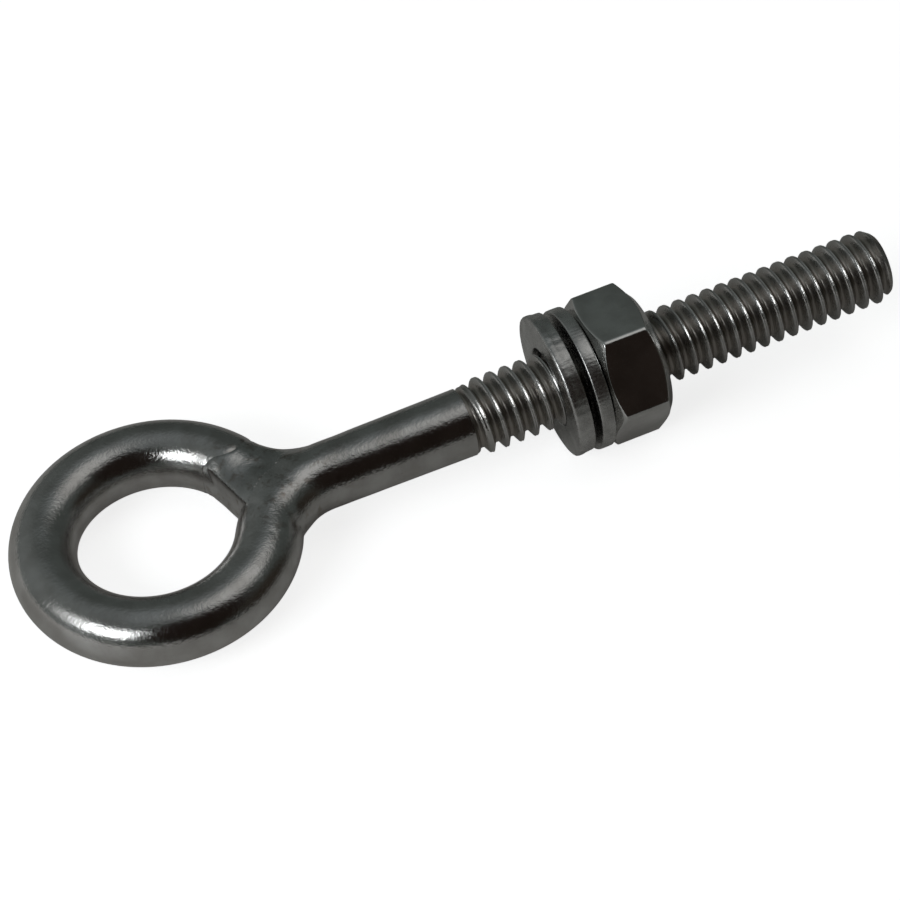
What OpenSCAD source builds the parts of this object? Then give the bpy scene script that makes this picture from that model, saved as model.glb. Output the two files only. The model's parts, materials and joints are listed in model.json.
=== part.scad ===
// Welded eye bolt with hex nut, split lock washer and flat washer.
// The bolt lies along X: the eye is centred on the origin in the XY plane,
// and the threaded end points to +X.

/* [Eye] */
// Diameter of the opening in the eye
eye_inner_d = 12.4; // [11:0.1:14]
// Diameter of the bent bar
bar_d = 5.35; // [4.9:0.05:5.6]
// Radius of the bend that leads from the shank into the eye, at the middle of the bar
bend_r = 7; // [6:0.1:9]
// Angle round the eye where the loose end of the bar stops, from the shank
loop_end_angle = 27; // [22:1:34]

/* [Weld] */
// Thickness of the weld across the joint
weld_t = 4.2; // [3:0.1:4.8]
// Distance from the eye's centre to the flat inner face of the weld
weld_flat_r = 6.1; // [5.9:0.05:6.15]
// Direction that the flat inner face looks away from, from the shank
weld_flat_angle = 16; // [12:1:20]
// Radius of the weld's hollow outer face
weld_fillet_r = 4.6; // [3.5:0.1:6]

/* [Shank and thread] */
// Distance from the eye's centre to the start of the thread
shank_end_x = 26.1; // [22:0.1:30]
// Diameter of the plain shank next to the thread
shank_d = 5.55; // [5.3:0.05:5.7]
// Length of the threaded end
thread_l = 36.7; // [32:0.1:45]
// Major diameter of the thread
thread_d = 6.15; // [6.1:0.01:6.35]
// Thread pitch, 20 turns to the inch
thread_pitch = 1.27; // [1.25:0.01:1.3]
// Root diameter of the thread
thread_root_d = 4.75; // [4.6:0.05:4.9]

/* [Nut] */
// Nut width across flats
nut_af = 11.05; // [10.5:0.05:11.2]
// Nut thickness
nut_t = 5.2; // [4:0.05:5.6]
// Distance from the eye's centre to the nut's inner face
nut_x = 36.8; // [35.5:0.1:44]
// Turn of the nut about the bolt
nut_turn = 54; // [0:0.5:60]

/* [Washers] */
// Outer diameter of the flat washer
flat_washer_d = 11.9; // [11:0.1:12.8]
// Bore of the flat washer
flat_washer_bore = 6.6; // [6.5:0.1:7.1]
// Thickness of the flat washer
flat_washer_t = 1.4; // [1:0.1:1.6]
// Play between the flat washer and the lock washer
washer_play = 0.35; // [0.2:0.05:1]
// Outer diameter of the lock washer
lock_washer_d = 11.8; // [11:0.1:12.4]
// Bore of the lock washer
lock_washer_bore = 6.5; // [6.4:0.1:6.8]
// Thickness of the lock washer
lock_washer_t = 1.4; // [1.2:0.1:1.6]
// Width of the cut through the lock washer
lock_gap = 0.6; // [0.3:0.1:1.2]

/* [Hidden] */
$fn = 96;

bar_r = bar_d / 2;
// Middle of the bar round the eye
ring_r = (eye_inner_d + bar_d) / 2;
// The bend's centre is at (bend_x, -bend_r): the bend touches both the eye and the shank line
bend_x = sqrt(pow(ring_r + bend_r, 2) - pow(bend_r, 2));
// Angle below the shank where the bend meets the eye
bend_angle = atan2(bend_r, bend_x);
// The bar is a little thicker where it is bent, and the eye and the shank run this far into the bend
bend_swell = 0.04;
bend_lap = 0.3;

thread_r = thread_d / 2;
root_r = thread_root_d / 2;
tip_x = shank_end_x + thread_l;
// Length and end radius of the chamfer on the tip
tip_chamfer = 0.8;
tip_r = 2.6;
// Widths along the axis of one thread's crest and root, as shares of the pitch
crest_w = thread_pitch / 8;
root_w = thread_pitch / 4;
// The first grooves are shallow, where the rolling dies ran out
runout_turns = 2;
// Chamfer and plain land before the first groove
start_chamfer = 0.15;
start_land = 0.1;
first_groove_x = shank_end_x + start_chamfer + start_land;
groove_count = floor((tip_x - tip_chamfer - first_groove_x) / thread_pitch);

// Radial clearance of the nut and the depth of its countersinks
nut_bore_r = thread_r + 0.08;
nut_mouth = 0.45;
// Round face at the nut's washer end and at its outer end, as shares of the width across flats
nut_face_share = 0.96;
nut_outer_share = 0.91;
nut_face_r = nut_face_share * nut_af / 2;
nut_outer_r = nut_outer_share * nut_af / 2;
nut_chamfer_angle = 30;
nut_outer_angle = 35;
// Corners are rounded off to a little less than the sharp hexagon's
nut_corner_r = nut_af / sqrt(3);
nut_round_r = nut_corner_r - 0.1;

// Play between the lock washer and the nut, and the washers' edge chamfers
lock_play = 0.06;
lock_washer_x = nut_x - lock_play - lock_washer_t;
flat_washer_x = lock_washer_x - washer_play - flat_washer_t;
flat_edge = 0.18;
// A lock washer is a little thicker at its bore than at its rim
lock_rim_t = lock_washer_t - 0.2;
lock_edge = 0.15;
// Direction of the cut through the lock washer and its slant
lock_gap_angle = -50;
lock_gap_slant = 25;

// How far the weld's outline reaches into the bars that it joins, at its rim and along its hollow face
weld_bite = 0.3;
weld_sink = 0.1;
// The corner of the weld's outline that is buried in the bend, as shares of bend_x and bend_r
weld_root = [0.55, -0.4];

// How far cutting shapes reach past the surfaces they cut, and a hair's breadth for flush faces
over = 1;
hair = 0.01;

steel = "#7d7f80";
nut_steel = "#6f7272";
washer_steel = "#858787";

// Depth of groove number i: full, except over the run-out at the start
function groove_depth(i) =
    (thread_r - root_r) * min(1, (i + 1) / (runout_turns + 1));

// The four points of one groove's outline, from crest to crest
function groove(i) =
    let (
        x = first_groove_x + i * thread_pitch,
        flank = (thread_pitch - crest_w - root_w) / 2,
        r = thread_r - groove_depth(i)
    )
    [
        [thread_r, x],
        [r, x + flank],
        [r, x + flank + root_w],
        [thread_r, x + thread_pitch - crest_w]
    ];

// Lays a shape turned about the Z axis along the bolt, so that its Z becomes X
module along_bolt() {
    rotate([0, 90, 0])
        children();
}

// A length of bent bar round the Z axis, from one angle to another
module bent_bar(bend, thickness, from_angle, to_angle) {
    rotate([0, 0, from_angle])
        rotate_extrude(angle = to_angle - from_angle)
            translate([bend, 0])
                circle(r = thickness);
}

module threaded_end() {
    outline = concat(
        [[0, shank_end_x], [thread_r - start_chamfer, shank_end_x], [thread_r, shank_end_x + start_chamfer]],
        [for (i = [0 : groove_count - 1]) each groove(i)],
        [[thread_r, tip_x - tip_chamfer], [tip_r, tip_x], [0, tip_x]]
    );
    along_bolt()
        rotate_extrude()
            polygon(outline);
}

// One bar: the eye from its loose end round to the bend, the bend, the shank and the thread
module bar_solid() {
    lap_angle = bend_lap / ring_r * 180 / PI;
    shank_x = bend_x - bend_lap;
    bent_bar(ring_r, bar_r, loop_end_angle, 360 - bend_angle + lap_angle);
    translate([bend_x, -bend_r, 0])
        bent_bar(bend_r, bar_r + bend_swell, 90, 180 - bend_angle);
    translate([shank_x, 0, 0])
        along_bolt()
            cylinder(h = shank_end_x - shank_x, r1 = bar_r, r2 = shank_d / 2);
}

module eye_rod() {
    color(steel) {
        bar_solid();
        threaded_end();
    }
}

// Outline of the weld: the wedge between the loose end of the bar and the shank
module weld_outline() {
    fillet_y = bar_r + weld_fillet_r;
    outer_r = ring_r + bar_r;
    fillet_x = sqrt(pow(outer_r + weld_fillet_r, 2) - pow(fillet_y, 2));
    end_dir = [cos(loop_end_angle), sin(loop_end_angle)];
    difference() {
        polygon([
            (weld_flat_r - over) * end_dir,
            (outer_r - weld_bite) * end_dir,
            [fillet_x, fillet_y],
            [fillet_x, 0],
            [weld_root.x * bend_x, weld_root.y * bend_r]
        ]);
        translate([fillet_x, fillet_y])
            circle(r = weld_fillet_r + weld_sink);
        rotate(weld_flat_angle)
            translate([0, -ring_r])
                square([weld_flat_r, 2 * ring_r]);
    }
}

module weld() {
    color(steel)
        difference() {
            translate([0, 0, -weld_t / 2])
                linear_extrude(weld_t)
                    weld_outline();
            bar_solid();
        }
}

module flat_washer() {
    r = flat_washer_d / 2;
    bore = flat_washer_bore / 2;
    t = flat_washer_t;
    color(washer_steel)
        translate([flat_washer_x, 0, 0])
            along_bolt()
                rotate_extrude()
                    polygon([
                        [bore, 0],
                        [r - flat_edge, 0],
                        [r, flat_edge],
                        [r, t - flat_edge],
                        [r - flat_edge, t],
                        [bore, t]
                    ]);
}

module lock_washer() {
    r = lock_washer_d / 2;
    bore = lock_washer_bore / 2;
    t = lock_washer_t;
    drop = (t - lock_rim_t) / 2;
    color(washer_steel)
        translate([lock_washer_x, 0, 0])
            difference() {
                along_bolt()
                    rotate_extrude()
                        polygon([
                            [bore, 0],
                            [r - lock_edge, drop],
                            [r, drop + lock_edge],
                            [r, t - drop - lock_edge],
                            [r - lock_edge, t - drop],
                            [bore, t]
                        ]);
                rotate([lock_gap_angle, 0, 0])
                    translate([t / 2, (r + bore) / 2, 0])
                        rotate([0, lock_gap_slant, 0])
                            cube([4 * t, r, lock_gap], center = true);
            }
}

module hex_nut() {
    inner_rise = (nut_round_r - nut_face_r) * tan(nut_chamfer_angle);
    outer_rise = (nut_round_r - nut_outer_r) * tan(nut_outer_angle);
    color(nut_steel)
        translate([nut_x, 0, 0])
            difference() {
                intersection() {
                    rotate([nut_turn, 0, 0])
                        rotate([0, 90, 0])
                            rotate(90)
                                cylinder(h = nut_t, r = nut_corner_r, $fn = 6);
                    along_bolt()
                        rotate_extrude()
                            polygon([
                                [0, 0],
                                [nut_face_r, 0],
                                [nut_round_r, inner_rise],
                                [nut_round_r, nut_t - outer_rise],
                                [nut_outer_r, nut_t],
                                [0, nut_t]
                            ]);
                }
                along_bolt()
                    translate([0, 0, -over])
                        cylinder(h = nut_t + 2 * over, r = nut_bore_r);
                for (end = [0, 1])
                    translate([end * nut_t, 0, 0])
                        mirror([end, 0, 0])
                            along_bolt()
                                translate([0, 0, -hair])
                                    cylinder(h = nut_mouth, r1 = nut_bore_r + nut_mouth, r2 = nut_bore_r);
            }
}

eye_rod();
weld();
flat_washer();
lock_washer();
hex_nut();
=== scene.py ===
"""Looks of the eye bolt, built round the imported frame.

One polished bar (eye, bend, shank and rolled thread), the weld that closes the eye, a flat washer,
a split lock washer and a hex nut. Mesh code works in millimetres in the frame of the CAD model:
the bolt lies along X and the eye is centred on the origin in the XY plane.
"""
import json
import math

import bmesh
import bpy
import numpy as np
from mathutils import Matrix, Vector


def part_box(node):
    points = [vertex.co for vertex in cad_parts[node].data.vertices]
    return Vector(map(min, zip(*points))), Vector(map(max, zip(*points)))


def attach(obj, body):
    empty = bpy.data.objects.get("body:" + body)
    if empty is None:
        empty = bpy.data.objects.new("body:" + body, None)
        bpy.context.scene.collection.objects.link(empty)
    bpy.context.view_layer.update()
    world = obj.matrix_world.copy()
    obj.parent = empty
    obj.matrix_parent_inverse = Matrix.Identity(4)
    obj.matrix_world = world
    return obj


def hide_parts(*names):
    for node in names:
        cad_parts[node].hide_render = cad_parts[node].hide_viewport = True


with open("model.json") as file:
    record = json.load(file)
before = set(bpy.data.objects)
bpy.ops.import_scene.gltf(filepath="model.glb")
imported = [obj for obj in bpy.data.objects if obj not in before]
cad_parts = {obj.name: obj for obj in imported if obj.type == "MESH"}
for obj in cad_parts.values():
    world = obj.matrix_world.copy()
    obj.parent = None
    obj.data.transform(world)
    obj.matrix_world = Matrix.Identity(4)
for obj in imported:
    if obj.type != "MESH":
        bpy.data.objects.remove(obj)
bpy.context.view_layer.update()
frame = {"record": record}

MM = 0.001
mounts = {m["name"]: m for m in frame["record"]["mounts"]}


def box_mm(node):
    """The low and high corners of a CAD node's box, in millimetres."""
    low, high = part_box(node)
    return np.array(low) / MM, np.array(high) / MM


# ---------------------------------------------------------------- sizes, in millimetres
bar_r = mounts["eye"]["dims"]["length_mm"] / 2
rod_low, rod_high = box_mm("eye_rod")
ring_r = -rod_low[0] - bar_r
# The bend from the eye into the shank, at the middle of the bar
bend_r = 7.0
bend_x = math.sqrt((ring_r + bend_r) ** 2 - bend_r**2)
bend_angle = math.degrees(math.atan2(bend_r, bend_x))
loose_end_angle = 29.0
shank_end_r = 2.79

tip_x = rod_high[0]
thread_r = mounts["threaded_end"]["dims"]["r_mm"]
shank_end_x = tip_x - mounts["threaded_end"]["dims"]["length_mm"]
pitch = 1.27
root_r = 2.39
# Half widths of one thread's crest and root, as shares of the pitch
crest_half = 0.085
root_half = 0.11
# A crest of the thread is at this place on the +Y side of the bolt
crest_x = shank_end_x + 0.495
full_thread_x = shank_end_x + 1.45
tip_chamfer = 0.75
tip_r = 2.55

# The weld's half thickness, its flat inner face and its hollow outer face
weld_half_t = 2.15
chord_angle = math.radians(16)
chord_distance = 6.1
fillet_r = 4.6
# The weld's upper side rises by this angle from where its hollow face touches the eye
upper_angle = math.radians(16.9)

flat_low, flat_high = box_mm("flat_washer")
lock_low, lock_high = box_mm("lock_washer")
nut_low, nut_high = box_mm("hex_nut")
flat_bore_r = 3.3
lock_bore_r = 3.25
# Direction of the lock washer's cut, its width and its slant
cut_angle = math.radians(-50)
cut_width = 0.6
cut_slant = math.radians(25)
nut_af = 11.05
nut_corner_angle = math.radians(54)
nut_chamfer = math.tan(math.radians(30))
# Play between the nut's thread and the bolt's
thread_play = 0.07


# ---------------------------------------------------------------- mesh tools
def make_piece(name, points, faces, sharp_angle):
    """A smooth-shaded mesh object from points in millimetres."""
    mesh = bpy.data.meshes.new(name)
    mesh.from_pydata((np.asarray(points) * MM).tolist(), [], [list(map(int, f)) for f in faces])
    mesh.validate()
    mesh.shade_smooth()
    mesh.set_sharp_from_angle(angle=math.radians(sharp_angle))
    piece = bpy.data.objects.new(name, mesh)
    bpy.context.scene.collection.objects.link(piece)
    return piece


def smooth_step(low, high, value):
    """0 below low, 1 above high, and a smooth rise between them."""
    t = np.clip((value - low) / (high - low), 0, 1)
    return t * t * (3 - 2 * t)


def smooth_min(a, b, reach):
    """The lower of two distances, rounded over where they are within reach of each other."""
    reach = np.maximum(reach, 1e-6)
    h = np.clip(0.5 + 0.5 * (b - a) / reach, 0, 1)
    return b + (a - b) * h - reach * h * (1 - h)


def smooth_max(a, b, reach):
    return -smooth_min(-a, -b, reach)


def surface_net(distance, low, high, step):
    """Quad mesh of the surface where distance() is zero, with one point in each cell it crosses."""
    axes = [np.arange(a, b + step, step) for a, b in zip(low, high)]
    grid = np.stack(np.meshgrid(*axes, indexing="ij"), -1)
    field = distance(grid.reshape(-1, 3)).reshape(grid.shape[:3])
    cells = tuple(n - 1 for n in field.shape)
    sums, hits, edges = np.zeros((*cells, 3)), np.zeros(cells), []
    for axis in range(3):
        first = np.take(field, np.arange(cells[axis]), axis)
        second = np.take(field, np.arange(1, cells[axis] + 1), axis)
        at = np.argwhere((first < 0) != (second < 0))
        a, b = first[tuple(at.T)], second[tuple(at.T)]
        point = at.astype(float)
        point[:, axis] += a / (a - b)
        corners = []
        for du, dv in ((0, 0), (1, 0), (1, 1), (0, 1)):
            cell = at.copy()
            cell[:, (axis + 1) % 3] -= du
            cell[:, (axis + 2) % 3] -= dv
            np.add.at(sums, tuple(cell.T), point)
            np.add.at(hits, tuple(cell.T), 1)
            corners.append(cell)
        edges.append((corners, a < 0))
    number = np.full(cells, -1)
    used = hits > 0
    number[used] = np.arange(used.sum())
    points = np.array(low) + step * sums[used] / hits[used][:, None]
    quads = []
    for corners, outward in edges:
        quad = np.stack([number[tuple(c.T)] for c in corners], 1)
        quads.append(np.where(outward[:, None], quad, quad[:, ::-1]))
    return points, np.concatenate(quads)


def gradient(distance, points, reach=1e-3):
    """Slope of distance() at each point, from its values on either side."""
    slope = np.empty_like(points)
    for axis in range(3):
        shift = np.zeros(3)
        shift[axis] = reach
        slope[:, axis] = (distance(points + shift) - distance(points - shift)) / (2 * reach)
    return slope


def pull(points, distance):
    """Moves points on to the surface where distance() is zero, by one Newton step."""
    slope = gradient(distance, points)
    return points - slope * (distance(points) / np.maximum((slope**2).sum(1), 0.2))[:, None]


def settle(points, surfaces, step):
    """Puts each point on the outermost of the surfaces, or on both where two of them meet."""
    for _ in range(5):
        values = np.stack([s(points) for s in surfaces])
        near = np.abs(values) < 0.55 * step
        near &= near.sum(0) > 1
        moved = points.copy()
        for i, surface in enumerate(surfaces):
            mine = (values.argmax(0) == i) | near[i]
            moved[mine] = pull(moved[mine], surface)
        points = moved
    return points


def cut_at_x(points, faces, x, keep_low):
    """The mesh on one side of a plane across the bolt, and the cut's points in order of angle."""
    bm = bmesh.new()
    mesh = bpy.data.meshes.new("cut")
    mesh.from_pydata(np.asarray(points).tolist(), [], [list(map(int, f)) for f in faces])
    bm.from_mesh(mesh)
    bpy.data.meshes.remove(mesh)
    everything = bm.verts[:] + bm.edges[:] + bm.faces[:]
    bmesh.ops.bisect_plane(
        bm, geom=everything, dist=1e-5, plane_co=(x, 0, 0), plane_no=(1, 0, 0),
        clear_outer=keep_low, clear_inner=not keep_low,
    )
    bm.verts.index_update()
    points = np.array([v.co for v in bm.verts])
    faces = [[v.index for v in f.verts] for f in bm.faces]
    rim = {v.index for e in bm.edges if e.is_boundary for v in e.verts if abs(v.co.x - x) < 1e-3}
    bm.free()
    rim = sorted(rim, key=lambda i: math.atan2(points[i][2], points[i][1]))
    return points, faces, rim


def stitch(points, rim_a, rim_b, outward_x):
    """Triangles between two rims that lie round the bolt's axis, each in order of angle."""
    def angles(rim):
        return [math.atan2(points[i][2], points[i][1]) for i in rim]

    a, b = angles(rim_a), angles(rim_b)
    start = min(range(len(b)), key=lambda k: abs(b[k] - a[0]))
    rim_b, b = rim_b[start:] + rim_b[:start], b[start:] + b[:start]
    turn_a = [(v - a[0]) % (2 * math.pi) for v in a] + [2 * math.pi]
    turn_b = [(v - a[0] + 0.5) % (2 * math.pi) - 0.5 for v in b] + [2 * math.pi]
    faces, i, k = [], 0, 0
    while i < len(rim_a) or k < len(rim_b):
        ia, kb = rim_a[i % len(rim_a)], rim_b[k % len(rim_b)]
        if k == len(rim_b) or (i < len(rim_a) and turn_a[i + 1] <= turn_b[k + 1]):
            faces.append([ia, rim_a[(i + 1) % len(rim_a)], kb])
            i += 1
        else:
            faces.append([ia, rim_b[(k + 1) % len(rim_b)], kb])
            k += 1
    return [f if outward_x else f[::-1] for f in faces]


def join(*meshes):
    """Several (points, faces) as one."""
    points, faces, start = [], [], 0
    for p, f in meshes:
        points.append(p)
        faces += [[i + start for i in face] for face in f]
        start += len(p)
    return np.concatenate(points), faces


def unfold(bm):
    """Takes out points that only two faces meet at, where the surface lies folded on itself."""
    for _ in range(6):
        tips = [v for v in bm.verts if len(v.link_faces) == 2]
        if not tips:
            break
        pairs = [v for v in tips if all(len(f.verts) == 3 for f in v.link_faces)]
        doubled = list({f for v in pairs for f in v.link_faces})
        bmesh.ops.dissolve_verts(bm, verts=[v for v in tips if v not in pairs])
        bmesh.ops.delete(bm, geom=[f for f in doubled if f.is_valid], context="FACES")


def face_outwards(piece):
    """Turns all faces of a closed mesh to face out, and drops slivers."""
    bm = bmesh.new()
    bm.from_mesh(piece.data)
    bmesh.ops.remove_doubles(bm, verts=bm.verts[:], dist=1e-6)
    bmesh.ops.dissolve_degenerate(bm, dist=1e-8, edges=bm.edges[:])
    unfold(bm)
    for _ in range(6):
        folded = [e for e in bm.edges if not e.is_manifold]
        if not folded:
            break
        bmesh.ops.collapse(bm, edges=folded, uvs=False)
        bmesh.ops.dissolve_degenerate(bm, dist=1e-8, edges=bm.edges[:])
    unfold(bm)
    bmesh.ops.recalc_face_normals(bm, faces=bm.faces[:])
    bm.to_mesh(piece.data)
    bm.free()
    return piece


# ---------------------------------------------------------------- the bar and the weld as distances
def arc_distance(p, centre, radius, start, end):
    """Distance, in the plane of the eye, to an arc from one angle to another."""
    x, y = p[:, 0] - centre[0], p[:, 1] - centre[1]
    turned = (np.degrees(np.arctan2(y, x)) - start) % 360
    ends = [
        np.hypot(x - radius * math.cos(math.radians(a)), y - radius * math.sin(math.radians(a)))
        for a in (start, end)
    ]
    return np.where(turned <= end - start, np.abs(np.hypot(x, y) - radius), np.minimum(*ends))


# Angle round the eye where the loose half of the bar is taken to meet the bolt's half
half_way = 200


def loose_half(p):
    """The bar from its loose end to half-way round the eye."""
    flat = arc_distance(p, (0, 0), ring_r, loose_end_angle, half_way)
    return np.hypot(flat, p[:, 2]) - bar_r


def bolt_half(p):
    """The bar from half-way round the eye, through the bend and along the shank."""
    eye = arc_distance(p, (0, 0), ring_r, half_way, 360 - bend_angle)
    bend = arc_distance(p, (bend_x, -bend_r), bend_r, 90, 180 - bend_angle)
    past = np.maximum(bend_x - p[:, 0], 0)
    shank = np.hypot(p[:, 1], past)
    flat = np.minimum(np.minimum(eye, bend), shank)
    grown = (shank_end_r - bar_r) * np.clip((p[:, 0] - bend_x) / (shank_end_x - bend_x), 0, 1)
    return np.hypot(flat, p[:, 2]) - bar_r - grown


# The middle of the weld's hollow outer face
fillet_y = bar_r + fillet_r
fillet_x = math.sqrt((ring_r + bar_r + fillet_r) ** 2 - fillet_y**2)
# Where the weld's hollow outer face touches the eye
touch = (ring_r + bar_r) / (ring_r + bar_r + fillet_r)
fillet_touch = (touch * fillet_x, touch * fillet_y)


def past_chord(p):
    """Distance past the weld's flat inner face, towards the middle of the eye."""
    return chord_distance - (p[:, 0] * math.cos(chord_angle) + p[:, 1] * math.sin(chord_angle))


def weld_slab(p):
    """The weld metal between the loose end and the bend, level across its top."""
    x, y = p[:, 0], p[:, 1]
    bow = fillet_r + bar_r - np.hypot(x - fillet_x, y - fillet_y)
    hollow = np.hypot(np.maximum(bow, 0), p[:, 2]) - bar_r
    rise, run = math.sin(upper_angle), math.cos(upper_angle)
    upper = (y - fillet_touch[1]) * run - (x - fillet_touch[0]) * rise
    under = bend_r - np.hypot(np.minimum(x - bend_x, 0), y + bend_r)
    flat = np.maximum.reduce([hollow, past_chord(p), upper, under, x - fillet_x])
    return smooth_max(flat, np.abs(p[:, 2]) - weld_half_t, 0.9)


def whole_bar(p):
    """The eye, weld and shank together, with their surfaces run into each other."""
    loose, bolt = loose_half(p), bolt_half(p)
    blend = 2.0 * smooth_step(2, 5, p[:, 0]) * smooth_step(-5, -2, p[:, 1])
    from_eye = np.hypot(p[:, 0] - fillet_touch[0], p[:, 1] - fillet_touch[1])
    from_shank = np.hypot(p[:, 0] - fillet_x, p[:, 1] - bar_r)
    soft = 0.9 * smooth_step(0.5, 3.5, np.minimum(from_eye, from_shank))
    joined = smooth_min(smooth_min(loose, bolt, blend), weld_slab(p), soft)
    joined = smooth_max(joined, past_chord(p), 1.5)
    return np.minimum(np.minimum(loose, bolt), joined)


def rounded(points, rounds=2):
    """An open line with its corners cut round."""
    points = np.array(points, float)
    for _ in range(rounds):
        a, b = points[:-1], points[1:]
        middle = np.stack([0.75 * a + 0.25 * b, 0.25 * a + 0.75 * b], 1).reshape(-1, 2)
        points = np.concatenate([points[:1], middle, points[-1:]])
    return points


# The weld's edge runs over the loose end, and comes back along the bend
toe_r = 8.75
seam = rounded([(4.4, 1.9), (5.0, 3.0), (5.6, 4.1), (7.9, 3.35), (9.2, 4.3), (11.6, 6.3)])
toe_angles = np.radians(np.arange(88, 146, 4))
toe = np.stack([bend_x + toe_r * np.cos(toe_angles), -bend_r + toe_r * np.sin(toe_angles)], 1)
weld_edge = np.concatenate([seam, [(15.2, 6.3)], toe, [(6.0, -2.1), (4.4, -1.0)]])


def outside_weld(p):
    """Distance to the weld's edge in the plane of the eye, negative inside the weld."""
    result = np.full(len(p), 9.0)
    close = (p[:, 0] > 2.5) & (p[:, 0] < 17) & (p[:, 1] > -4) & (p[:, 1] < 8)
    x, y = p[close, 0], p[close, 1]
    nearest, inside = np.full(len(x), 1e9), np.zeros(len(x), bool)
    for (ax, ay), (bx, by) in zip(weld_edge, np.roll(weld_edge, -1, 0)):
        ex, ey = bx - ax, by - ay
        t = np.clip(((x - ax) * ex + (y - ay) * ey) / (ex * ex + ey * ey), 0, 1)
        nearest = np.minimum(nearest, np.hypot(x - ax - t * ex, y - ay - t * ey))
        if ey:
            inside ^= ((ay > y) != (by > y)) & (x < ax + (y - ay) * ex / ey)
    result[close] = np.where(inside, -nearest, nearest)
    return result


def inside_weld(p):
    """Distance to the same edge, negative outside the weld."""
    return -outside_weld(p)


# Where the surface is dented or pitted: a place near it, then the dent's size and depth
dents = [
    (10.7, -4.1, -0.6, 0.75, 0.12),
    (10.45, -4.75, 1.1, 0.28, 0.12),
    (11.0, -1.2, 2.5, 0.3, 0.06),
    (8.0, -5.4, 2.6, 0.14, 0.06),
    (6.5, 0.6, 2.1, 0.18, 0.06),
    (6.9, -0.1, 2.2, 0.2, 0.05),
    (9.2, 1.9, 2.3, 0.5, 0.05),
    (24.9, -0.9, -2.5, 0.13, 0.05),
]


def seam_groove(points):
    """Sinks the surface along the weld's visible edge, and makes it uneven round the bend."""
    slope = gradient(whole_bar, points)
    slope /= np.maximum(np.linalg.norm(slope, axis=1), 1e-6)[:, None]
    on_surface = np.abs(whole_bar(points)) < 0.02
    away = np.abs(outside_weld(points))
    upper = smooth_step(1.8, 2.6, points[:, 1])
    groove_depth, groove_width = 0.045, 0.13
    depth = groove_depth * np.exp(-((away / groove_width) ** 2)) * upper
    x, y, z = points.T
    ripple = np.sin(1.9 * x + 1.3 * y) + np.sin(2.3 * y - 1.1 * x + 2) + np.sin(1.7 * z + 2.2 * x)
    depth = depth + 0.022 * ripple * np.exp(-(((x - 11) / 4.5) ** 2 + (y / 4.5) ** 2))
    for x, y, z, size, deep in dents:
        gap = np.linalg.norm(points - np.array([x, y, z]), axis=1)
        depth = depth + deep * np.exp(-((gap / size) ** 2))
    return points - slope * (depth * on_surface)[:, None]


# Size of the cells that the two surfaces are made in
bar_step = 0.18
weld_step = 0.12


def make_bar_surface():
    """The eye, bend and shank without the weld, open at the end of the shank."""
    low = (-ring_r - bar_r - 0.5, -ring_r - bar_r - 0.5, -bar_r - 0.6)
    high = (shank_end_x + 0.8, ring_r + bar_r + 0.5, bar_r + 0.6)

    def past_end(p):
        return p[:, 0] - shank_end_x - 0.4

    surfaces = [whole_bar, inside_weld, past_end]

    def field(p):
        return np.maximum.reduce([s(p) for s in surfaces])

    points, quads = surface_net(field, low, high, bar_step)
    points = seam_groove(settle(points, surfaces, bar_step))
    return cut_at_x(points, quads, shank_end_x, keep_low=True)


def make_weld_mesh():
    """The part of the same surface inside the weld's edge, closed where it meets the bar."""
    low, high = (3.6, -3.4, -3.2), (16.2, 7.4, 3.2)
    surfaces = [whole_bar, outside_weld]

    def field(p):
        return np.maximum(whole_bar(p), outside_weld(p))

    points, quads = surface_net(field, low, high, weld_step)
    return seam_groove(settle(points, surfaces, weld_step)), quads


# ---------------------------------------------------------------- thread
def tooth(turn, crest_half, root_half):
    """Height of a thread's outline, 1 on the crest and 0 at the root, where turn is in pitches."""
    away = np.abs((turn + 0.5) % 1 - 0.5)
    flank = np.clip((0.5 - root_half - away) / (0.5 - root_half - crest_half), 0, 1)
    rounding = 0.06
    crest_dip = 0.07 * np.exp(-((away / 0.035) ** 2))
    height = smooth_min(flank, np.ones_like(flank), rounding)
    height = smooth_max(height, np.zeros_like(flank), rounding)
    return height - crest_dip


def thread_turn(x, angle):
    """How many pitches along the thread a place on the bolt is, whole on its crest."""
    return (x - crest_x) / pitch - angle / (2 * math.pi)


def bolt_radius(x, angle):
    """The threaded end's radius: the teeth, lower over the first turn, inside the tip's chamfer."""
    full = smooth_step(shank_end_x + 0.5, full_thread_x, x)
    crest = shank_end_r + (thread_r - shank_end_r) * full - 0.02 * (1 - full)
    height = tooth(thread_turn(x, angle), crest_half + 0.1 * (1 - full), root_half)
    radius = root_r + (crest - root_r) * height
    end = smooth_step(0, 0.3, x - shank_end_x)
    radius = np.minimum(radius, shank_end_r - 0.28 + (crest - shank_end_r + 0.28) * end)
    chamfer = tip_r + (thread_r - tip_r) * (tip_x - x) / tip_chamfer
    return smooth_min(radius, chamfer, 0.05)


def nut_radius(x, angle):
    """The nut's bore: teeth that run in the bolt's grooves, opened out to a countersink at each end."""
    share = thread_play / pitch
    height = tooth(thread_turn(x, angle), crest_half + share, root_half - share)
    nut_root_r = root_r + 0.17
    radius = nut_root_r + (thread_r + thread_play - nut_root_r) * height
    depth = np.minimum(x - nut_low[0], nut_high[0] - x)
    return np.maximum(radius, thread_r + 0.42 - depth)


# Places across one pitch, closer together on the crest and the root
tooth_rows = np.array(
    [-0.5, -0.43, -0.37, -0.26, -0.16, -0.11, -0.07, 0, 0.07, 0.11, 0.16, 0.26, 0.37, 0.43]
)


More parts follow.
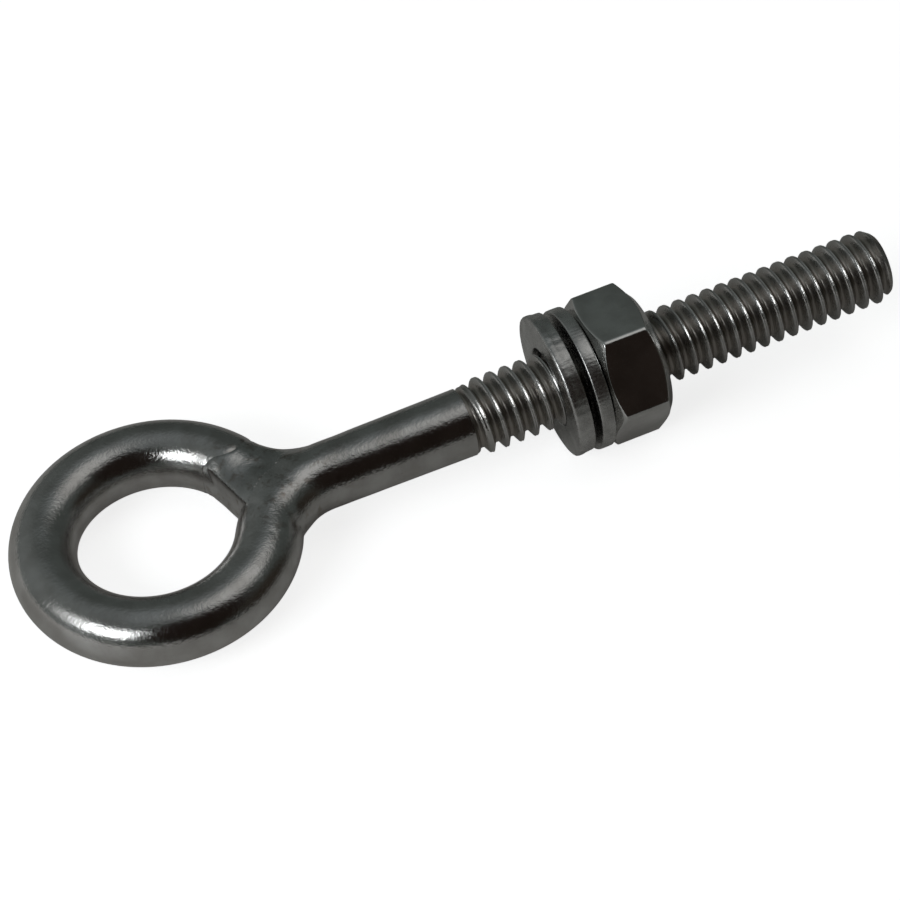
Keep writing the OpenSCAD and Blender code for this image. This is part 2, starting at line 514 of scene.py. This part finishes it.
def helix_sheet(radius, low_x, high_x, columns, outward):
    """A threaded surface round the bolt, whose rows of faces follow the helix."""
    first = math.floor((low_x - crest_x) / pitch) - 2
    turns = math.ceil((high_x - low_x) / pitch) + 5
    places = (np.arange(first, first + turns)[:, None] + tooth_rows).ravel()
    angle = 2 * math.pi * np.arange(columns) / columns
    x = crest_x + pitch * (places[:, None] + angle / (2 * math.pi))
    r = radius(x, np.broadcast_to(angle, x.shape))
    points = np.stack([x, r * np.cos(angle), r * np.sin(angle)], -1).reshape(-1, 3)
    number = np.arange(len(points)).reshape(x.shape)
    per_turn = len(tooth_rows)
    closed = np.concatenate([number[:-per_turn], number[per_turn:, :1]], 1)
    corners = [closed[:-1, :-1], closed[1:, :-1], closed[1:, 1:], closed[:-1, 1:]]
    quads = np.stack(corners, -1).reshape(-1, 4)
    return points, quads if outward else quads[:, ::-1]


def ring_points(x, radius, columns):
    """A ring of points round the bolt, in order of angle from -180 degrees."""
    angle = 2 * math.pi * np.arange(columns) / columns - math.pi
    return np.stack([np.full(columns, x), radius * np.cos(angle), radius * np.sin(angle)], 1)


def ring_strip(first, second, columns):
    """Quads between two rings of points with the same number of columns."""
    i = np.arange(columns)
    k = (i + 1) % columns
    return np.stack([first + i, first + k, second + k, second + i], 1).tolist()


# Columns of points round the thread and round the middle of the tip
thread_columns = 96
cap_columns = 64
# Edges with a larger angle than this, in degrees, are shaded as edges
bar_sharp = 38
nut_sharp = 35


def make_bar():
    """The whole bar as one closed mesh: the shaped surface, the thread and the dished tip."""
    surface, surface_faces, shank_rim = make_bar_surface()
    sheet, quads = helix_sheet(bolt_radius, shank_end_x, tip_x, thread_columns, True)
    sheet, quads, _ = cut_at_x(sheet, quads, shank_end_x, keep_low=False)
    sheet, quads, tip_rim = cut_at_x(sheet, quads, tip_x, keep_low=True)
    start_rim = [i for i in range(len(sheet)) if abs(sheet[i][0] - shank_end_x) < 1e-4]
    start_rim.sort(key=lambda i: math.atan2(sheet[i][2], sheet[i][1]))
    # Radius and depth of the rings of the dished tip
    rings = [(tip_r - 0.12, 0), (1.6, 0.05), (0.8, 0.1), (0.2, 0.11)]
    cap = np.concatenate([ring_points(tip_x - depth, r, cap_columns) for r, depth in rings])
    points, faces = join((surface, surface_faces), (sheet, quads), (cap, []))
    sheet_at = len(surface)
    ring_at = [sheet_at + len(sheet) + cap_columns * k for k in range(len(rings))]
    cap_ring = [list(range(start, start + cap_columns)) for start in ring_at]
    faces += stitch(points, shank_rim, [i + sheet_at for i in start_rim], True)
    faces += stitch(points, [i + sheet_at for i in tip_rim], cap_ring[0], True)
    for first, second in zip(ring_at, ring_at[1:]):
        faces += ring_strip(first, second, cap_columns)
    faces.append(cap_ring[-1])
    return face_outwards(make_piece("polished_bar", points, faces, bar_sharp))


def make_weld():
    """The weld as its own closed mesh."""
    points, quads = make_weld_mesh()
    return face_outwards(make_piece("weld_bead", points, quads, bar_sharp))


# ---------------------------------------------------------------- nut
def hex_radius(angle):
    """The nut's radius at an angle from a corner: flat sides that meet at rounded corners."""
    corner_round = 0.55
    off_flat = (angle % (math.pi / 3)) - math.pi / 6
    flat = nut_af / 2 / np.cos(off_flat)
    off_corner = (angle + math.pi / 6) % (math.pi / 3) - math.pi / 6
    centre = (nut_af / 2 - corner_round) / math.cos(math.pi / 6)
    touch = math.atan2(corner_round / 2, centre + corner_round * math.cos(math.pi / 6))
    inside = np.maximum(corner_round**2 - (centre * np.sin(off_corner)) ** 2, 0)
    corner = centre * np.cos(off_corner) + np.sqrt(inside)
    return np.where(np.abs(off_corner) < touch, corner, flat)


def nut_columns():
    """Angles round the nut from a corner, closer together at the corners."""
    touch = 0.045
    side = np.concatenate([
        np.linspace(0, touch, 5, endpoint=False),
        np.linspace(touch, 3 * touch, 4, endpoint=False),
        np.linspace(3 * touch, math.pi / 3 - 3 * touch, 18, endpoint=False),
        np.linspace(math.pi / 3 - 3 * touch, math.pi / 3 - touch, 4, endpoint=False),
        np.linspace(math.pi / 3 - touch, math.pi / 3, 5, endpoint=False),
    ])
    return np.concatenate([side + k * math.pi / 3 for k in range(6)])


def nut_end(radius, face_r, steep_r, slope, steep):
    """Rows from one end face of the nut to its sides: (radius, depth below the face)."""
    edge = 0.07
    one = np.ones_like(radius)
    turn_depth = (steep_r - face_r) * steep
    start = turn_depth + (radius - steep_r) * slope
    return [
        ((face_r - 0.3) * one, 0 * one),
        ((face_r - 0.05) * one, 0.004 * one),
        ((face_r + 0.04) * one, 0.05 * steep * one),
        ((steep_r - 0.05) * one, (turn_depth - 0.05 * steep) * one),
        ((steep_r + 0.04) * one, (turn_depth + 0.04 * slope) * one),
        (steep_r + 0.6 * (radius - steep_r), turn_depth + 0.6 * (radius - steep_r) * slope),
        (radius - 1.5 * edge, start - 1.5 * edge * slope),
        (radius - 0.5 * edge, start - 0.1 * edge),
        (radius - 0.1 * edge, start + 0.7 * edge),
        (radius, start + 2 * edge),
        (radius, start + 0.35),
    ]


def make_nut():
    """Hexagon with chamfers that leave a round face at each end, and a threaded bore."""
    angle = nut_columns()
    columns = len(angle)
    radius = hex_radius(angle)
    thickness = nut_high[0] - nut_low[0]
    flat_r = nut_af / 2
    inner = nut_end(radius, 0.945 * flat_r, 0.965 * flat_r, nut_chamfer, 1.2 * nut_chamfer)
    outer = nut_end(radius, 0.885 * flat_r, 0.985 * flat_r, nut_chamfer, 1.4 * nut_chamfer)
    rows = inner + [(r, thickness - x) for r, x in outer[::-1]]
    turned = angle + nut_corner_angle
    points = np.concatenate([
        np.stack([nut_low[0] + x, r * np.cos(turned), r * np.sin(turned)], 1) for r, x in rows
    ])
    faces = []
    for k in range(len(rows) - 1):
        faces += ring_strip(columns * k, columns * (k + 1), columns)
    bore, quads = helix_sheet(nut_radius, nut_low[0], nut_high[0], thread_columns, False)
    bore, quads, _ = cut_at_x(bore, quads, nut_low[0], keep_low=False)
    bore, quads, _ = cut_at_x(bore, quads, nut_high[0], keep_low=True)
    whole, faces = join((points, faces), (bore, quads))
    for x, row, outward in ((nut_low[0], 0, False), (nut_high[0], len(rows) - 1, True)):
        rim = [i for i in range(len(points), len(whole)) if abs(whole[i][0] - x) < 1e-4]
        edge = list(range(columns * row, columns * (row + 1)))
        for loop in (rim, edge):
            loop.sort(key=lambda i: math.atan2(whole[i][2], whole[i][1]))
        faces += stitch(whole, edge, rim, outward)
    return face_outwards(make_piece("nut", whole, faces, nut_sharp))


# ---------------------------------------------------------------- washers
washer_columns = 360
spring_columns = 420


def ring_noise(angle, seed, harmonics, size):
    """A smooth irregular line round a ring, the same each run."""
    draw = np.random.default_rng(seed)
    total = np.zeros_like(angle)
    for k in harmonics:
        height = draw.normal() / math.sqrt(len(harmonics))
        total += height * np.cos(k * angle + draw.uniform(0, 6.28))
    return size * total


def sweep_ring(name, profile, columns, place, gap=None):
    """A profile of (radius, along) carried round the bolt. place(angle) gives offsets (radius, along).

    With gap, a (start, end) pair of angles, the ring is open there and its ends are closed off.
    """
    steps = columns if gap is None else columns + 1
    start, end = gap or (0, 2 * math.pi)
    angle = np.linspace(start, end, steps, endpoint=gap is not None)
    points = []
    for k, (r, x) in enumerate(profile):
        dr, dx = place(angle, r, x, k)
        points.append(np.stack([x + dx, (r + dr) * np.cos(angle), (r + dr) * np.sin(angle)], 1))
    points = np.concatenate(points)
    faces = []
    count = len(profile)
    for k in range(count):
        a, b = steps * k, steps * ((k + 1) % count)
        strip = ring_strip(a, b, steps)
        faces += strip if gap is None else strip[:-1]
    if gap is not None:
        faces.append([steps * k for k in range(count)])
        faces.append([steps * k + steps - 1 for k in range(count)][::-1])
    return face_outwards(make_piece(name, points, faces, nut_sharp))


def rounded_corner(centre, radius, start, end, count=4):
    """Points round one corner of a washer's outline, angles in degrees from +radius towards +along."""
    turn = np.radians(np.linspace(start, end, count))
    return [(centre[0] + radius * math.cos(a), centre[1] + radius * math.sin(a)) for a in turn]


def make_flat_washer():
    """Stamped washer: rolled-over edges on the face away from the nut, a sheared band on the rim."""
    r = flat_high[2]
    x0, x1 = flat_low[0], flat_high[0]
    roll, burr = 0.24, 0.06
    profile = [(flat_bore_r + 0.9, x0), (r - 1.1, x0), (r - 0.5, x0)]
    profile += rounded_corner((r - roll, x0 + roll), roll, -90, 0, 6)
    profile += [(r, x0 + 0.5), (r - 0.02, x0 + 0.62), (r - 0.07, x0 + 0.8), (r - 0.09, x0 + 1.1)]
    profile += rounded_corner((r - 0.1 - burr, x1 - burr), burr, 0, 90, 3)
    profile += [(r - 0.6, x1), (flat_bore_r + 0.7, x1)]
    profile += rounded_corner((flat_bore_r + burr, x1 - burr), burr, 90, 180, 3)
    profile += [(flat_bore_r, x0 + 0.8)]
    profile += rounded_corner((flat_bore_r + 0.12, x0 + 0.12), 0.12, 180, 270, 4)
    # The washer leans in its play round the bolt, lies to one side of it and a little towards the eye
    lean_y, lean_z = -0.036, -0.01
    aside_y, aside_z = 0.1, 0.15
    towards_eye = 0.08

    def place(angle, radius, x, k):
        rim = smooth_step(r - 0.3, r, radius)
        rough = ring_noise(angle, 3, range(9, 60, 3), 0.012)
        rough = rough + ring_noise(angle, 11 + k, range(40, 160, 7), 0.008)
        leaning = radius * (np.sin(angle) * lean_y - np.cos(angle) * lean_z)
        aside = aside_y * np.cos(angle) + aside_z * np.sin(angle)
        warped = ring_noise(angle, 5, (2, 3, 5), 0.012) * rim
        return aside + rough * rim, leaning - towards_eye + warped

    return sweep_ring("plain_washer", profile, washer_columns, place)


def make_lock_washer():
    """One turn of rolled wire, thinner at its rim, cut through and slightly sprung."""
    r = lock_high[2]
    thickness = lock_high[0] - lock_low[0]
    middle = (lock_high[0] + lock_low[0]) / 2 - 0.03
    inner_half, rim_half = 0.46 * thickness, 0.41 * thickness
    edge = 0.13
    profile = rounded_corner((r - edge, middle + rim_half - edge), edge, 0, 82, 4)
    profile += [(lock_bore_r + 1.2, middle + 0.44 * thickness)]
    profile += rounded_corner((lock_bore_r + edge, middle + inner_half - edge), edge, 96, 180, 4)
    profile += rounded_corner((lock_bore_r + edge, middle - inner_half + edge), edge, 180, 264, 4)
    profile += [(lock_bore_r + 1.2, middle - 0.44 * thickness)]
    profile += rounded_corner((r - edge, middle - rim_half + edge), edge, 278, 360, 4)
    profile += [(r + 0.01, middle - 0.15), (r + 0.01, middle + 0.15)]
    half_gap = cut_width / 2 / r
    slant = math.tan(cut_slant) / r
    start, end = cut_angle + half_gap, cut_angle - half_gap + 2 * math.pi
    # Each end of the wire stands off the washer's middle plane by this much
    sprung = 0.09

    def place(angle, radius, x, k):
        share = (angle - start) / (end - start) - 0.5
        rim = smooth_step(r - 0.3, r, radius)
        ridges = ring_noise(angle, 40, range(100, 330, 13), 0.007) * rim
        return ridges, 2 * sprung * share + np.zeros_like(angle)

    piece = sweep_ring("spring_washer", profile, spring_columns, place, gap=(start, end))
    # The cut slants, so points near it are turned about the bolt, more with their distance along it
    for v in piece.data.vertices:
        y, z, x = v.co.y / MM, v.co.z / MM, v.co.x / MM - middle
        a = math.atan2(z, y)
        off = (a - cut_angle + math.pi) % (2 * math.pi) - math.pi
        turn = x * slant * math.exp(-((off / 0.5) ** 2))
        c, s = math.cos(turn), math.sin(turn)
        v.co.y, v.co.z = (y * c - z * s) * MM, (y * s + z * c) * MM
    return piece


# ---------------------------------------------------------------- materials
class Nodes:
    """A material's node tree, with short names for the nodes that the steels use."""

    def __init__(self, name):
        self.material = bpy.data.materials.new(name)
        self.material.use_nodes = True
        self.tree = self.material.node_tree
        self.shader = self.tree.nodes["Principled BSDF"]
        self.place = self.add("ShaderNodeTexCoord").outputs["Object"]

    def add(self, kind, inputs=(), **settings):
        node = self.tree.nodes.new(kind)
        for key, value in settings.items():
            setattr(node, key, value)
        for key, value in dict(inputs).items():
            self.feed(node.inputs[key], value)
        return node

    def feed(self, socket, value):
        if isinstance(value, bpy.types.NodeSocket):
            self.tree.links.new(value, socket)
        else:
            socket.default_value = value

    def math(self, operation, a, b=0.0, c=0.0, clamp=False):
        node = self.add("ShaderNodeMath", {0: a, 1: b, 2: c}, operation=operation, use_clamp=clamp)
        return node.outputs[0]

    def scaled(self, vector, scale):
        node = self.add("ShaderNodeVectorMath", {0: vector, 1: scale}, operation="MULTIPLY")
        return node.outputs[0]

    def noise(self, vector, scale, detail=3.0, roughness=0.55):
        node = self.add(
            "ShaderNodeTexNoise",
            {"Vector": vector, "Scale": scale, "Detail": detail, "Roughness": roughness},
        )
        return node.outputs["Fac"]

    def ramp(self, value, low, high, to_low=0.0, to_high=1.0):
        node = self.add(
            "ShaderNodeMapRange",
            {"Value": value, "From Min": low, "From Max": high, "To Min": to_low, "To Max": to_high},
            interpolation_type="SMOOTHSTEP",
        )
        return node.outputs[0]

    def mix(self, factor, a, b):
        node = self.add("ShaderNodeMix", data_type="RGBA")
        for socket, value in zip((node.inputs[0], node.inputs[6], node.inputs[7]), (factor, a, b)):
            self.feed(socket, value)
        return node.outputs[2]

    def bump(self, height, depth, below=None):
        """A bump whose height of 1 stands depth metres proud."""
        node = self.add("ShaderNodeBump", {"Height": height, "Strength": 1.0, "Distance": depth})
        if below is not None:
            self.feed(node.inputs["Normal"], below)
        return node.outputs["Normal"]

    def stain(self, colour):
        """Brown traces of heat and polish round the weld."""
        weld_middle = (0.0095, 0, 0.001)
        gap = self.add("ShaderNodeVectorMath", {0: self.place, 1: weld_middle}, operation="DISTANCE")
        near = self.ramp(gap.outputs["Value"], 0.0085, 0.003)
        patches = self.ramp(self.noise(self.place, 900.0, 5.0, 0.65), 0.5, 0.66)
        amount = self.math("MULTIPLY", near, self.math("MULTIPLY", patches, 0.55))
        return self.mix(amount, colour, HEAT_BROWN)

    def round_bolt(self):
        """Place as (angle round the bolt times a typical radius, distance from its axis, along it)."""
        parts = self.add("ShaderNodeSeparateXYZ", {0: self.place}).outputs
        angle = self.math("MULTIPLY", self.math("ARCTAN2", parts[2], parts[1]), 0.005)
        squares = self.math("ADD", self.math("POWER", parts[1], 2.0), self.math("POWER", parts[2], 2.0))
        radius = self.math("SQRT", squares)
        joined = self.add("ShaderNodeCombineXYZ", {0: angle, 1: radius, 2: parts[0]}).outputs[0]
        return joined, radius, parts


# Each steel's colour where it is bright and where it is clouded
BAR_STEEL = (0.60, 0.595, 0.585, 1), (0.47, 0.46, 0.445, 1)
WELD_STEEL = (0.56, 0.56, 0.55, 1), (0.43, 0.43, 0.42, 1)
NUT_STEEL = (0.80, 0.80, 0.79, 1), (0.60, 0.595, 0.58, 1)
WASHER_STEEL = (0.66, 0.66, 0.65, 1), (0.46, 0.455, 0.445, 1)
HEAT_BROWN = (0.2, 0.15, 0.11, 1)
# Brown painted shade in the roots of the thread
ROOT_SHADE_BROWN = (0.34, 0.31, 0.275, 1)
PIT_BROWN = (0.12, 0.1, 0.085, 1)


def bar_steel():
    """Polished bar: bright, with fine draw marks, a slightly wavy surface, sparse pits and painted shade
    in the thread's roots.
    """
    n = Nodes("bar_steel")
    cloud = n.noise(n.place, 420.0, 4.0)
    fine = n.noise(n.place, 3800.0, 3.0, 0.6)
    grain = n.noise(n.place, 9500.0, 2.0, 0.6)
    specks = n.ramp(n.noise(n.place, 1500.0, 4.0, 0.6), 0.70, 0.76)
    pits = n.math("MULTIPLY", specks, n.ramp(cloud, 0.5, 0.6))
    colour = n.mix(n.ramp(cloud, 0.3, 0.7), *BAR_STEEL)
    _, radius, parts = n.round_bolt()
    threaded = n.ramp(parts[0], (shank_end_x - 0.1) * MM, (shank_end_x + 0.1) * MM)
    # Painted shade: the thread's roots are darkened towards brown, more the deeper they lie, and the same
    # mask makes them rougher
    root_shade = n.math("MULTIPLY", n.ramp(radius, thread_r * MM, root_r * MM), threaded)
    colour = n.stain(n.mix(n.math("MULTIPLY", root_shade, 0.8), colour, ROOT_SHADE_BROWN))
    n.feed(n.shader.inputs["Base Color"], n.mix(pits, colour, PIT_BROWN))
    dull = n.math("MAXIMUM", pits, n.math("MULTIPLY", root_shade, 0.6))
    rough = n.math("ADD", n.ramp(fine, 0.3, 0.75, 0.10, 0.17), n.math("MULTIPLY", dull, 0.25))
    rough = n.math("ADD", rough, n.math("MULTIPLY", threaded, 0.05))
    n.feed(n.shader.inputs["Roughness"], rough)
    n.shader.inputs["Metallic"].default_value = 1.0
    wavy = n.bump(n.noise(n.place, 260.0, 2.0), 2.2e-5)
    textured = n.bump(fine, 2.4e-5, wavy)
    textured = n.bump(grain, 9e-6, textured)
    n.feed(n.shader.inputs["Normal"], n.bump(n.math("SUBTRACT", 1.0, pits), 6e-6, textured))
    return n.material


def weld_steel():
    """Dressed weld metal: a shade duller and more pitted than the bar."""
    n = Nodes("weld_steel")
    cloud = n.noise(n.place, 500.0, 4.0)
    fine = n.noise(n.place, 3500.0, 3.0, 0.6)
    pits = n.ramp(n.noise(n.place, 1700.0, 4.0, 0.6), 0.68, 0.75)
    colour = n.stain(n.mix(n.ramp(cloud, 0.3, 0.7), *WELD_STEEL))
    n.feed(n.shader.inputs["Base Color"], n.mix(pits, colour, PIT_BROWN))
    rough = n.math("ADD", n.ramp(fine, 0.3, 0.75, 0.15, 0.24), n.math("MULTIPLY", pits, 0.2))
    n.feed(n.shader.inputs["Roughness"], rough)
    n.shader.inputs["Metallic"].default_value = 1.0
    wavy = n.bump(n.noise(n.place, 600.0, 2.0), 1.6e-5)
    textured = n.bump(fine, 2.4e-5, wavy)
    n.feed(n.shader.inputs["Normal"], n.bump(n.math("SUBTRACT", 1.0, pits), 7e-6, textured))
    return n.material


def nut_steel():
    """Smooth bright nut, with faint cloudiness on the flats."""
    n = Nodes("nut_steel")
    cloud = n.noise(n.place, 350.0, 4.0)
    fine = n.noise(n.place, 4200.0, 3.0, 0.6)
    colour = n.mix(n.ramp(cloud, 0.3, 0.7), *NUT_STEEL)
    n.feed(n.shader.inputs["Base Color"], colour)
    n.feed(n.shader.inputs["Roughness"], n.ramp(fine, 0.3, 0.75, 0.10, 0.19))
    n.shader.inputs["Metallic"].default_value = 1.0
    wavy = n.bump(n.noise(n.place, 330.0, 2.0), 6e-6)
    n.feed(n.shader.inputs["Normal"], n.bump(fine, 6e-6, wavy))
    return n.material


def washer_steel():
    """Stamped steel: satin faces with turned marks, and a rough sheared rim."""
    n = Nodes("washer_steel")
    round_place, radius, _ = n.round_bolt()
    cloud = n.noise(n.place, 600.0, 4.0)
    fine = n.noise(n.place, 5200.0, 3.0, 0.65)
    across = n.noise(n.scaled(round_place, (1.0, 0.4, 0.4)), 6500.0, 3.0, 0.6)
    rim = n.ramp(radius, (flat_high[2] - 0.3) * MM, (flat_high[2] - 0.15) * MM)
    colour = n.mix(n.ramp(cloud, 0.3, 0.7), *WASHER_STEEL)
    n.feed(n.shader.inputs["Base Color"], colour)
    rough = n.math("ADD", n.ramp(fine, 0.3, 0.75, 0.20, 0.30), n.math("MULTIPLY", rim, 0.05))
    n.feed(n.shader.inputs["Roughness"], rough)
    n.shader.inputs["Metallic"].default_value = 1.0
    textured = n.bump(fine, 5e-6)
    sheared = n.math("ADD", across, n.noise(n.place, 4200.0, 2.0))
    n.feed(n.shader.inputs["Normal"], n.bump(n.math("MULTIPLY", sheared, rim), 1.3e-5, textured))
    return n.material


# ---------------------------------------------------------------- pieces
bar = make_bar()
weld = make_weld()
nut = make_nut()
plain_washer = make_flat_washer()
spring_washer = make_lock_washer()

for piece, node, body, slot, material in (
    (bar, "eye_rod", "eye_bolt", "bar_steel", bar_steel()),
    (weld, "weld", "eye_bolt", "weld_steel", weld_steel()),
    (nut, "hex_nut", "nut", "nut_steel", nut_steel()),
    (plain_washer, "flat_washer", "flat_washer", "washer_steel", washer_steel()),
    (spring_washer, "lock_washer", "lock_washer", "washer_steel", washer_steel()),
):
    piece.data.materials.append(material)
    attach(piece, body)
    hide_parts(node)

# ---------------------------------------------------------------- floor, lights and camera
# The bolt rests on the underside of the eye and on the washers' rims, so the floor slopes against it
rest_x, rest_z = flat_high[0], -flat_high[2]
slope = math.atan2(-bar_r - rest_z, rest_x + ring_r)
up = Vector((math.sin(slope), 0, math.cos(slope)))

camera_place = Vector((-0.02353, -0.15890, 0.18950))
camera_towards = Vector((0.18951355, 0.62584841, -0.75657014))
camera_up = Vector((0.35338751, 0.67542240, 0.64724172))
view_angle = 2 * math.atan(450 / 3191.1)

ahead = (camera_towards - camera_towards.dot(up) * up).normalized()
right = ahead.cross(up)


def direction(azimuth, elevation):
    """A unit vector: azimuth in degrees to the right of straight ahead, elevation above the floor."""
    a, e = math.radians(azimuth), math.radians(elevation)
    level = math.cos(a) * ahead + math.sin(a) * right
    return math.cos(e) * level + math.sin(e) * up


def make_floor():
    """A pale sheet that the bolt lies on. Away from the camera's own view it is a mid grey, with a painted
    sheen to one side.
    """
    foot = Vector((rest_x * MM, 0, rest_z * MM)) - 0.00002 * up
    mesh = bpy.data.meshes.new("floor")
    bm = bmesh.new()
    bmesh.ops.create_grid(bm, x_segments=8, y_segments=8, size=3.0)
    turn = Vector((0, 0, 1)).rotation_difference(up).to_matrix().to_4x4()
    bmesh.ops.transform(bm, matrix=Matrix.Translation(foot) @ turn, verts=bm.verts[:])
    bm.to_mesh(mesh)
    bm.free()
    floor = bpy.data.objects.new("floor", mesh)
    bpy.context.scene.collection.objects.link(floor)
    n = Nodes("floor_sheet")
    # The camera sees pale paper. The polished steel reflects a duller sheet with a painted sheen to one
    # side: it glows more towards the window
    seen = n.add("ShaderNodeLightPath").outputs["Is Camera Ray"]
    speckle = n.noise(n.place, 40.0, 2.0)
    grey = n.mix(n.ramp(speckle, 0.3, 0.7), (0.50, 0.485, 0.465, 1), (0.56, 0.545, 0.52, 1))
    n.feed(n.shader.inputs["Base Color"], grey)
    n.shader.inputs["Roughness"].default_value = 0.45
    towards_window = n.add(
        "ShaderNodeVectorMath",
        {0: n.place, 1: direction(-125, 0)},
        operation="DOT_PRODUCT",
    )
    # Painted sheen: emission that rises across the sheet towards the window
    painted_sheen = n.ramp(towards_window.outputs["Value"], -0.08, 0.28, 0.0, 0.50)
    n.feed(n.shader.inputs["Emission Strength"], painted_sheen)
    n.feed(n.shader.inputs["Emission Color"], (1.0, 0.97, 0.94, 1))
    paper = n.add("ShaderNodeBsdfDiffuse", {"Color": (0.9, 0.9, 0.9, 1)})
    glow = n.add("ShaderNodeEmission", {"Color": (1, 1, 1, 1), "Strength": 0.80})
    pale = n.add("ShaderNodeAddShader", {0: paper.outputs[0], 1: glow.outputs[0]})
    both = n.add("ShaderNodeMixShader", {0: seen, 1: n.shader.outputs[0], 2: pale.outputs[0]})
    n.feed(n.tree.nodes["Material Output"].inputs["Surface"], both.outputs[0])
    mesh.materials.append(n.material)


def soft_light(name, azimuth, elevation, width, height, radiance, colour=(1, 1, 1)):
    """A rectangular lamp half a metre from the eye. Width and height are in degrees as seen from there."""
    distance = 0.5
    towards = direction(azimuth, elevation)
    data = bpy.data.lights.new(name, "AREA")
    data.shape = "RECTANGLE"
    data.size = 2 * distance * math.tan(math.radians(width / 2))
    data.size_y = 2 * distance * math.tan(math.radians(height / 2))
    data.energy = radiance * math.pi * data.size * data.size_y
    data.color = colour
    lamp = bpy.data.objects.new(name, data)
    bpy.context.scene.collection.objects.link(lamp)
    side = up.cross(towards).normalized()
    lamp.matrix_world = Matrix.Translation(distance * towards) @ Matrix(
        (side, towards.cross(side).normalized(), towards)
    ).transposed().to_4x4()


def make_room():
    """A dim room round the bench: a soft glow overhead, grey walls and dark corners."""
    world = bpy.data.worlds.new("room")
    bpy.context.scene.world = world
    world.use_nodes = True
    tree = world.node_tree
    tree.nodes.clear()

    def add(kind, **settings):
        node = tree.nodes.new(kind)
        for key, value in settings.items():
            setattr(node, key, value)
        return node

    towards = add("ShaderNodeTexCoord").outputs["Generated"]

    def lobe(azimuth, elevation, near, far):
        """1 within near degrees of a direction, falling to 0 at far degrees."""
        dot = add("ShaderNodeVectorMath", operation="DOT_PRODUCT")
        tree.links.new(towards, dot.inputs[0])
        dot.inputs[1].default_value = direction(azimuth, elevation)
        ramp = add("ShaderNodeMapRange", interpolation_type="SMOOTHSTEP")
        tree.links.new(dot.outputs["Value"], ramp.inputs["Value"])
        ramp.inputs["From Min"].default_value = math.cos(math.radians(far))
        ramp.inputs["From Max"].default_value = math.cos(math.radians(near))
        return ramp.outputs[0]

    def mixed(factor, below, colour):
        node = add("ShaderNodeMix", data_type="RGBA")
        tree.links.new(factor, node.inputs[0])
        if isinstance(below, bpy.types.NodeSocket):
            tree.links.new(below, node.inputs[6])
        else:
            node.inputs[6].default_value = (*below, 1)
        node.inputs[7].default_value = (*colour, 1)
        return node.outputs[2]

    colour = mixed(lobe(-92, 20, 20, 75), (0.072, 0.081, 0.077), (0.165, 0.178, 0.175))
    colour = mixed(lobe(18, 80, 10, 38), colour, (0.175, 0.19, 0.193))
    colour = mixed(lobe(72, 70, 3, 28), colour, (0.52, 0.52, 0.51))
    colour = mixed(lobe(156, 36, 28, 42), colour, (0.015, 0.011, 0.009))
    colour = mixed(lobe(100, 8, 14, 32), colour, (0.03, 0.025, 0.02))
    colour = mixed(lobe(36, -6, 12, 26), colour, (0.03, 0.026, 0.023))
    seen = add("ShaderNodeLightPath").outputs["Is Camera Ray"]
    colour = mixed(seen, colour, (1.0, 1.0, 1.0))
    background = add("ShaderNodeBackground")
    tree.links.new(colour, background.inputs["Color"])
    output = add("ShaderNodeOutputWorld")
    tree.links.new(background.outputs[0], output.inputs["Surface"])


def make_camera():
    """The camera, looking down along the bolt from beside the eye."""
    data = bpy.data.cameras.new("camera")
    data.sensor_width = 36
    data.angle = view_angle
    data.clip_start, data.clip_end = 0.01, 20
    camera = bpy.data.objects.new("camera", data)
    bpy.context.scene.collection.objects.link(camera)
    side = camera_towards.cross(camera_up).normalized()
    above = side.cross(camera_towards).normalized()
    camera.matrix_world = Matrix.Translation(camera_place) @ Matrix(
        (side, above, -camera_towards.normalized())
    ).transposed().to_4x4()
    bpy.context.scene.camera = camera


make_floor()
soft_light("window", -137, 35, 28, 19, 3.6, (0.95, 0.98, 1.0))
soft_light("window_frame", -132, 34, 44, 27, 0.60, (0.95, 0.98, 1.0))
soft_light("window_edge", -104, 34, 8, 28, 0.6)
make_room()
make_camera()
bpy.context.scene.view_settings.view_transform = "Standard"
